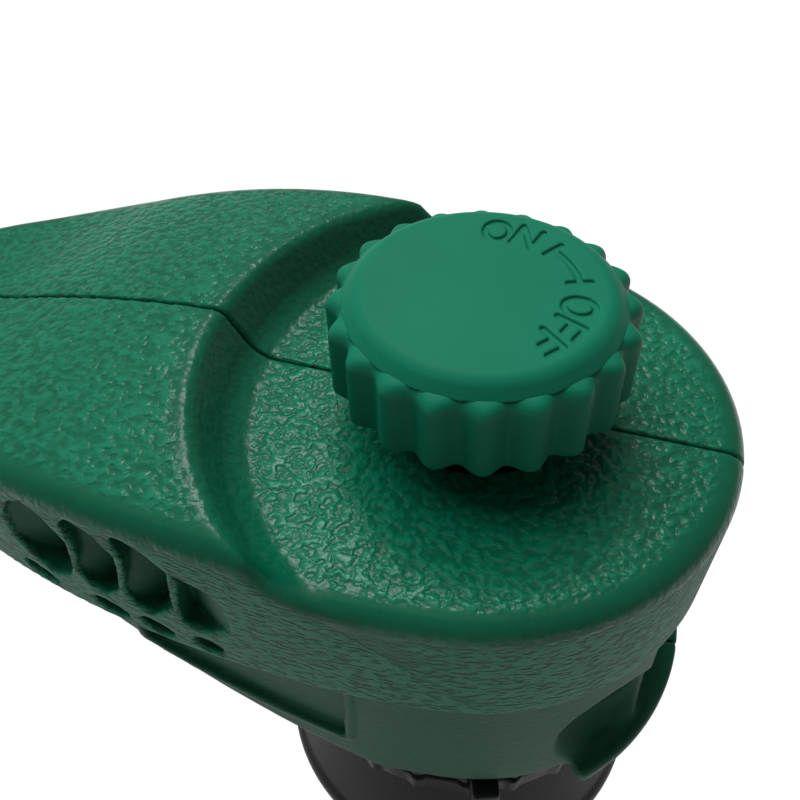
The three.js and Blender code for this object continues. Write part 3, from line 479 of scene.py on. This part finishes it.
def casing_shape(side):
    def shape(x, y, z):
        plan, under_plan = casing_parts(x, y)
        plan = plan + DRAFT * np.maximum(-z, 0)
        half = np.interp(x, HALF_X, HALF_TABLE)
        height = hood_drop(x) - 2 * (y / np.maximum(half, 6)) ** 2
        lean = np.sqrt(1 + (0.055 + 0.007 * (-34 - x)) ** 2 + (4 * y / np.maximum(half, 6) ** 2) ** 2)
        hood = (z - height) / lean
        cone = (np.hypot(x - STEP_X, y) - STEP_R - STEP_FLARE * z) / math.hypot(1, STEP_FLARE)
        hood = meet(hood, -cone, 1.1)
        top = union(z + 0 * x + 0 * y, hood, 2.2)
        casing = meet(top, plan, 2.7)
        casing = meet(casing, LIP - z, 0.7)

        keel = (FLOOR + KEEL_SLOPE * (KEEL_X - x) - z) / math.hypot(1, KEEL_SLOPE)
        under = meet(meet(under_plan + 0 * z, FLOOR - z, 1.3), keel, 1.3)
        under = np.maximum(under, z - (LIP + 2))
        body = union(casing, under, 0.25)

        # foot ledge and the recess over it, round each rear corner
        rho, angle = np.hypot(x, y), np.arctan2(y, x)
        rim = meet(rho - LEDGE_R, slab(z, FLOOR - 0.8, LEDGE_TOP), 0.8)
        rim = meet(rim, (angle - LEDGE_ANGLE) * 35 + 0 * z, 1.0)
        rim = np.maximum(rim, 24 - rho)
        body = union(body, rim, 0.8)
        cos, sin = math.cos(SCOOP_ANGLE), math.sin(SCOOP_ANGLE)
        radial = x * cos + y * sin - SCOOP_R
        across = y * cos - x * sin
        scoop = np.maximum(ellipsoid((across, radial, z - SCOOP_Z), SCOOP_HALF), LEDGE_TOP - z)
        body = cut(body, scoop, 1.0)

        # blank panel: a raised frame with a sunk field
        field = polygon(x, z, PANEL) + 0 * y
        frame_band = meet(under_plan - 0.35, field - 1.3, 0.3)
        frame_band = np.maximum(frame_band, -under_plan - 1.5)
        body = union(body, frame_band, 0.25)
        body = cut(body, np.maximum(field, -(under_plan + 0.9)), 0.2)

        inner = np.maximum(body + WALL, -y - 5)
        bare = body

        # louvres: deepest at the rear of each blade
        depth_in = -plan
        for outline in LOUVRES:
            front = min(p[0] for p in outline)
            rear = max(p[0] for p in outline)
            ramp = 0.2 + LOUVRE_DEPTH * np.clip((x - front) / (rear - front), 0, 1) ** 0.75
            groove = np.maximum(polygon(x, z, outline) + 0 * y, (depth_in - ramp) * 0.6)
            body = cut(body, groove, 0.3)
        ramp = 3.4 * (1 - np.clip((x + 27) / 7.4, 0, 1)) ** 1.2 + 0.1
        body = cut(body, np.maximum(polygon(x, z, BLIND) + 0 * y, (depth_in - ramp) * 0.7), 0.4)
        for nx, nz, reach in NOTCHES:
            bite = (np.sqrt(((x - nx) / reach) ** 2 + ((z - nz + 0.2 * (x - nx)) / 1.35) ** 2) - 1) * 1.3
            body = cut(body, np.maximum(bite + 0 * y, depth_in - 1.5), 0.35)

        posts = [tube(x - sx, z - sz, 3.3, -60, 60, y) for sx, sz, _ in SCREWS]
        posts.append(np.maximum(rho - 12.5, slab(z, FLOOR, -39.7)))
        backing = np.maximum(np.abs(x + 37.5) - 16, slab(z, -15.8, 5.5))
        posts.append(np.maximum(backing, depth_in - LOUVRE_BACK))
        for post in posts:
            inner = cut(inner, post)
        shell = cut(body, inner)
        shell = np.maximum(shell, bare)

        for sx, sz, head_side in SCREWS:
            off = y if side == head_side else -y
            shell = cut(shell, np.maximum(np.hypot(x - sx, z - sz) - 1.5, y - 10))
            shell = cut(shell, tube(x - sx, z - sz, 2.5, 9, 60, off), 0.2)
        shell = cut(shell, tube(x, y, 11.5, -4, 9, z), 0.5)
        shell = cut(shell, tube(x, y, 9, -60, -39.4, z), 0.3)
        shell = cut(shell, tube(x + 33.5, y, 1.9, -60, -24, z), 0.2)
        shell = cut(shell, tube(y, z + 12.7, 4.4, -95, -84, x), 0.2)
        return meet(shell, SEAM - y + 0 * x, 0.18)
    return shape


def casing_marks(points):
    """How much grain each point has, and whether it is the tops' or the sides'. Less grain also paints the green
    darker, as painted shade in the material.
    """
    x, y, z = points.T
    plan = polygon(x, np.abs(y), CASING)
    half = np.interp(x, HALF_X, HALF_TABLE)
    cone = (np.hypot(x - STEP_X, y) - STEP_R - STEP_FLARE * z) / math.hypot(1, STEP_FLARE)
    hood = hood_drop(x) - 2 * (y / np.maximum(half, 6)) ** 2
    top = np.where(cone > 0.3, hood, 0.0)
    below = top - z
    side = smooth(below, 1.6, 3.4)
    rim = 1 - smooth(np.abs(plan + 1.6), 0.6, 2.2)
    rim = rim * (1 - smooth(below, 2.2, 3.8))
    slope = 1 - smooth(np.abs(cone), 1.2, 2.6)
    slope = slope * (1 - smooth(below, 6, 8))
    grain = (1 - 0.92 * np.clip(rim, 0, 1)) * (1 - 0.72 * slope)
    low_down = smooth(LIP - z, 0.0, 1.0)
    grain = grain * (1 - low_down) + 0.09 * low_down
    depth = -(plan + DRAFT * np.maximum(-z, 0))
    inside = smooth(depth, 0.3, 0.9) * smooth(below, 2.8, 4.0)
    grain = grain * (1 - 0.93 * inside * (z > LIP))
    return {"grain": np.clip(grain, 0, 1), "side": np.clip(side, 0, 1)}


GRID = 0.42
for name, node, side in (("left_casing", "left_shell", -1), ("right_casing", "right_shell", 1)):
    piece(name, casing_shape(side), (-90, -0.5, -48), (37, 36, 9), GRID, "head", GRAIN,
          node, casing_marks, mirror=side < 0)

# ------------------------------------------------------------------ knob

KNOB_R, KNOB_TOP, FLUTES, PHASE = 18.0, 16.75, 20, 14.25


def knob_shape(x, y, z):
    rho, angle = np.hypot(x, y), np.arctan2(y, x)
    wave = 0.5 + 0.5 * np.cos((angle - math.radians(PHASE)) * FLUTES)
    wall = (rho - KNOB_R + 1.45 * (1 - wave ** 0.85)) * 0.85
    grip = meet(wall + 0 * z, z - KNOB_TOP, 1.5)
    grip = meet(grip, KNOB_FOOT - z, 0.7)
    hollow = np.maximum(np.maximum(rho - 15, 5.8 - rho), z - 14.35)
    grip = cut(grip, hollow, 0.3)
    grip = cut(grip, np.maximum(rho - 6.2, z - KNOB_FOOT - 0.6))
    grip = cut(grip, np.maximum(rho - 3.4, z - 14.65))
    return cut(grip, np.maximum(rho - 3.3, 15.65 - z))


def letter(kind):
    """Strokes of O, N or F, about 3 wide and 3.5 high, about its own centre."""
    if kind == "O":
        turns = [2 * math.pi * i / 28 for i in range(29)]
        return [[(1.45 * math.cos(t), 1.75 * math.sin(t)) for t in turns]]
    if kind == "N":
        return [[(-1.3, -1.75), (-1.3, 1.75), (1.3, -1.75), (1.3, 1.75)]]
    return [[(-1.0, -1.75), (-1.0, 1.75), (1.2, 1.75)], [(-1.0, 0.1), (0.8, 0.1)]]


# ON and OFF round the dial, each letter's top outwards, with an arc between two bars.
LABELS = [("O", 95.0), ("N", 75.0), ("O", -2.5), ("F", -22.5), ("F", -40.0)]
LABEL_R = 10.7


def dial_strokes():
    lines = []
    for kind, degrees in LABELS:
        a = math.radians(degrees)
        out, along = (math.cos(a), math.sin(a)), (math.sin(a), -math.cos(a))
        for line in letter(kind):
            lines.append([
                ((LABEL_R + v) * out[0] + u * along[0], (LABEL_R + v) * out[1] + u * along[1]) for u, v in line])
    arc = [math.radians(t) for t in np.linspace(20, 55, 10)]
    lines.append([(LABEL_R * math.cos(t), LABEL_R * math.sin(t)) for t in arc])
    for end in (arc[0], arc[-1]):
        lines.append([(r * math.cos(end), r * math.sin(end)) for r in (LABEL_R - 1.3, LABEL_R + 1.3)])
    return lines


DIAL = dial_strokes()


def dial_shape(x, y, z):
    rho = np.hypot(x, y)
    cone = (rho - 15.9 + (z - 16.9) * 0.95) / 1.38
    disc = meet(cone, z - 18.35, 0.7)
    disc = np.maximum(disc, 16.6 - z)
    engraved = strokes(x, y, DIAL) - 0.36
    return cut(disc, np.maximum(engraved + 0 * z, 18.02 - z), 0.07)


piece("knob_grip", knob_shape, (-18.6, -18.6, 6), (18.6, 18.6, 17.4), 0.3, "knob",
      KNOB_GREEN, "control_knob")
piece("knob_dial", dial_shape, (-16.4, -16.4, 16.3), (16.4, 16.4, 18.8), 0.16, "knob",
      KNOB_GREEN, "knob_cap")

# ------------------------------------------------------------------ black mouldings


def bonnet_shape(x, y, z):
    rho = np.hypot(x, y)
    collar = meet(rho - 11 + 0 * z, slab(z, -2.7, 4.2), 0.9)
    spigot = meet(rho - 8.7 + 0 * z, slab(z, -4.6, -2), 0.3)
    gland = meet(rho - 6.6 + 0 * z, slab(z, 3, 5.4), 0.5)
    made = union(union(collar, spigot, 0.3), gland, 0.7)
    made = cut(made, np.maximum(rho - 3.3, z - 9))
    return cut(cut(made, np.maximum(rho - 5.2, 1.5 - z), 0.2), np.maximum(rho - 5.3, z + 3))


def ring_shape(low, high, tab_angle):
    a = math.radians(tab_angle)

    def shape(x, y, z):
        rho, angle = np.hypot(x, y), np.arctan2(y, x)
        band = meet(slab(rho, 22.1, 27.3) + 0 * z, slab(z, low, high), 0.5)
        lobes = (rho - 27.3 - 0.75 * np.clip(np.cos(angle * 24), 0, 1) ** 2) * 0.8
        grips = meet(np.maximum(lobes, 25 - rho) + 0 * z, slab(z, low + 0.5, high - 0.5), 0.3)
        out = x * math.cos(a) + y * math.sin(a)
        across = -x * math.sin(a) + y * math.cos(a)
        tab = meet(slab(out, 26.4, 31.5) + 0 * z, slab(across, -2, 2) + 0 * z, 0.5)
        finger = meet(tab, slab(z, low, -47.4), 0.4)
        finger = np.maximum(finger, np.minimum(z - high, 28.2 - out))
        return union(union(band, grips, 0.3), finger, 0.5)
    return shape


def riser_shape(x, y, z):
    rho = np.hypot(x, y)
    stem = meet(rho - 8 + 0 * z, slab(z, -60, -21), 0.4)
    stem = cut(stem, np.maximum(slab(rho, 7.6, 9), slab(z, -24.3, -20)), 0.1)
    hub = meet(rho - 21.8 + 0 * z, slab(z, -57.6, -47.2), 0.5)
    share = np.clip((-57.4 - z) / 18.1, 0, 1)
    outer = (rho - (24.2 + 5.5 * share)) / 1.045
    cone = meet(outer, slab(z, -76, -57.4), 0.9)
    cone = union(cone, meet(rho - 30.5 + 0 * z, slab(z, -79, -75.6), 1.2), 1.2)
    under = (rho - (21.6 + 5.5 * share)) / 1.045
    hollow = np.maximum(np.maximum(under, 11 - rho), slab(z, -90, -60.4))
    cone = cut(cone, np.maximum(hollow, -(84 + z)), 0.6)
    cone = cut(cone, np.maximum(slab(rho, 11, 27.9), slab(z, -90, -74)), 0.4)
    neck = meet(rho - 11 + 0 * z, slab(z, -84, -57), 0.4)
    barrel = meet(rho - 14 + 0 * z, slab(z, -111.7, -83.4), 1.5)
    nipple = meet(np.hypot(x, z + 97) - 8 + 0 * y, slab(y, 0, 33), 0.3)
    flange = meet(np.hypot(x, z + 97) - 9.4 + 0 * y, slab(y, 31, 33), 0.3)
    made = union(union(stem, hub, 1.0), cone, 0.6)
    made = union(union(made, neck, 1.0), barrel, 1.2)
    made = union(union(made, nipple, 1.4), flange, 0.3)
    made = cut(made, np.maximum(rho - 5.5, -102.5 - z))
    made = cut(made, np.maximum(np.hypot(x, z + 97) - 6, -y), 0.3)
    made = cut(made, np.maximum(rho - 9.3, z + 105.6), 0.2)
    return cut(made, np.hypot(y, z + 108) - 1.8 + 0 * x, 0.2)


THREAD_PITCH = 1.814                      # a 3/4 inch hose thread


def nut_shape(x, y, z):
    z = z + 97
    rho, angle = np.hypot(x, z), np.arctan2(z, x)
    lobes = 16 + 1.15 * np.clip(np.cos(angle * 12), 0, 1) ** 1.5
    outer = meet((rho - 16) + 0 * y, slab(y, 26, 50), 1.3)
    ribs = meet((rho - lobes) * 0.8 + 0 * y, slab(y, 28.2, 48.6), 1.0)
    made = union(outer, ribs, 0.6)
    made = cut(made, np.maximum(rho - 8.5, y - 60))
    made = cut(made, np.maximum(rho - 13.4, 30.6 - y), 0.4)
    threads = 0.45 * np.cos((y / THREAD_PITCH) * 2 * math.pi - angle)
    bore = rho - 13.4 - np.maximum(threads, 0) * 0.8
    return cut(made, np.maximum(bore, slab(y, 31.5, 48.8)))


def nozzle_shape(x, y, z):
    z = z + 12.7
    rho = np.hypot(y, z)
    stem = tube(y, z, 4.1, -88.3, -84.8, x)
    flange = meet(rho - 6 + 0 * x, slab(x, -89.8, -88.3), 0.4)
    cone = meet((rho - 4.8 + 0.214 * (-90.4 - x)) / 1.02, slab(x, -96, -88.5), 0.4)
    ear = meet(slab(np.abs(y), 3.3, 5.1) + 0 * x, slab(x, -95, -90.6), 0.6)
    ear = meet(ear, slab(z, -1, 8.8), 0.9)
    made = union(union(union(stem, flange), cone, 0.3), ear, 0.3)
    made = cut(made, np.maximum(rho - 2.9, -89 - x))
    made = cut(made, np.maximum(rho - 2.1, x + 88), 0.15)
    return cut(made, np.hypot(x + 93, z - 7) - 1.2 + 0 * y)


def deflector_shape(x, y, z):
    u, w = x + 93, z + 5.7
    barrel = meet(np.hypot(u, w) - 2 + 0 * y, slab(y, -2.9, 2.9), 0.3)
    arm = meet(meet(slab(u, -12, 0) + 0 * z, slab(w, 0.6, 2) + 0 * u, 0.35) + 0 * y, slab(y, -2.9, 2.9), 0.4)
    tip = meet(meet(slab(u, -13.5, -11) + 0 * z, slab(w, 0.2, 2.4) + 0 * u, 0.5) + 0 * y, slab(y, -4.5, 4.5), 0.6)
    made = union(union(barrel, arm, 0.5), tip, 0.5)
    return cut(made, np.hypot(u, w) - 1.2 + 0 * y)


SPIKE_TIP = -149.7                        # just inside the CAD spike's point


def spike_shape(x, y, z):
    plate = polygon(x, y, [(-18, -18), (-16, -50), (-13, -53), (13, -53), (16, -50), (18, -18), (18, 10), (12, 17),
                           (-12, 17), (-18, 10)])
    step = meet(plate + 0 * z, slab(z, 0, 4), 0.8)
    treads = np.maximum(np.cos(y * 2 * math.pi / 4.0) * 0.6, 0)
    tread_zone = np.maximum(plate + 3.0, y + 16)
    step = cut(step, np.maximum(tread_zone + 0 * z, 4.0 - treads - z + 0.02), 0.15)
    peg = np.maximum(np.hypot(x, y) - 9, slab(z, 3, 10.1))
    outline = [(-13, 0.5), (-11.5, -60), (-6, -128), (0, -150), (6, -128), (11.5, -60), (13, 0.5)]
    first = meet(polygon(x, z, outline) + 0 * y, slab(y, -1.6, 1.6), 0.5)
    second = meet(polygon(y, z, outline) + 0 * x, slab(x, -1.6, 1.6), 0.5)
    gusset = polygon(y, z, [(-45, 0.5), (-10, -22), (-10, 0.5)])
    gusset = meet(gusset + 0 * x, slab(x, -1.5, 1.5), 0.4)
    blades = union(first, second, 1.0)
    made = union(union(step, blades, 1.2), gusset, 1.0)
    made = union(made, peg, 0.6)
    made = cut(made, np.hypot(y, z - 8) - 1.8 + 0 * x)
    return np.maximum(made, SPIKE_TIP - z)


COARSE = 0.5
piece("bonnet", bonnet_shape, (-11.6, -11.6, -6.6), (11.6, 11.6, 6), 0.35, "head", BLACK,
      "valve_bonnet")
piece("arc_ring_upper", ring_shape(-52.0, -47.9, 70), (-29, -29, -52.6), (29, 32.5, -46.8), 0.4, "upper_ring",
      BLACK, "upper_arc_ring")
piece("arc_ring_lower", ring_shape(-56.9, -52.4, -70), (-29, -32.5, -57.5), (29, 29, -46.8), 0.4,
      "lower_ring",
      BLACK, "lower_arc_ring")
piece("riser", riser_shape, (-31.2, -31.2, -112.4), (31.2, 33.8, -20.4), COARSE, "base",
      BLACK,
      "riser_base")
piece("hose_swivel", nut_shape, (-17.8, 25.4, -114.8), (17.8, 50.6, -79.2), 0.42, "coupling",
      BLACK,
      "coupling_nut")
piece("spray_nozzle", nozzle_shape, (-96.5, -6.6, -19.2), (-84.2, 6.6, -3.2), 0.22, "head",
      BLACK,
      "nozzle")
piece("deflector_blade", deflector_shape, (-107, -5, -8.2), (-90.6, 5, -2.8), 0.22, "deflector",
      BLACK, "spray_deflector")
piece("spike", spike_shape, (-18.7, -53.8, -150.6), (18.7, 17.8, 10.8), COARSE, "base",
      SPIKE_BLACK, "ground_spike", deck=0)

# ------------------------------------------------------------------ floor and light


def add_floor():
    mesh = bpy.data.meshes.new("floor")
    low = cad_low.z - 0.0006
    mesh.from_pydata([(-4, -4, low), (4, -4, low), (4, 4, low), (-4, 4, low)], [], [(0, 1, 2, 3)])
    floor = bpy.data.objects.new("floor", mesh)
    bpy.context.scene.collection.objects.link(floor)
    look = Look("pale_floor", roughness=0.9, specular=0.1)
    look.colour((0.47, 0.47, 0.47), (0.49, 0.49, 0.49), look.noise(0.01, 2.0))
    mesh.materials.append(look.material)


def add_light(name, direction, distance, size, watts):
    data = bpy.data.lights.new(name, "AREA")
    data.shape = "RECTANGLE"
    data.size, data.size_y = size
    data.energy = watts
    lamp = bpy.data.objects.new(name, data)
    away = Vector(direction).normalized()
    lamp.location = Vector((-0.02, 0, DECK / 1000)) + away * distance
    lamp.rotation_mode = "QUATERNION"
    lamp.rotation_quaternion = away.to_track_quat("Z", "Y")
    bpy.context.scene.collection.objects.link(lamp)


def add_key():
    """A broad key from the back left, left out of gloss so that it lays no haze on the flat tops."""
    key = bpy.data.lights.new("key", "SUN")
    key.energy = 6.8
    key.angle = math.radians(70)
    lamp = bpy.data.objects.new("key", key)
    lamp.visible_glossy = False
    lamp.rotation_mode = "QUATERNION"
    lamp.rotation_quaternion = Vector((-0.45, 0.35, 0.82)).to_track_quat("Z", "Y")
    bpy.context.scene.collection.objects.link(lamp)


def add_world():
    world = bpy.data.worlds.new("studio")
    world.use_nodes = True
    background = world.node_tree.nodes["Background"]
    background.inputs["Color"].default_value = (1, 1, 1, 1)
    background.inputs["Strength"].default_value = 0.28
    bpy.context.scene.world = world


add_floor()
add_light("back_softbox", (-0.20, 0.50, 0.82), 0.75, (0.20, 0.10), 1.5)
add_light("front_fill", (0.2, -0.95, 0.12), 1.1, (0.9, 0.5), 0.2)

add_key()
add_world()
bpy.context.scene.view_settings.view_transform = "Standard"
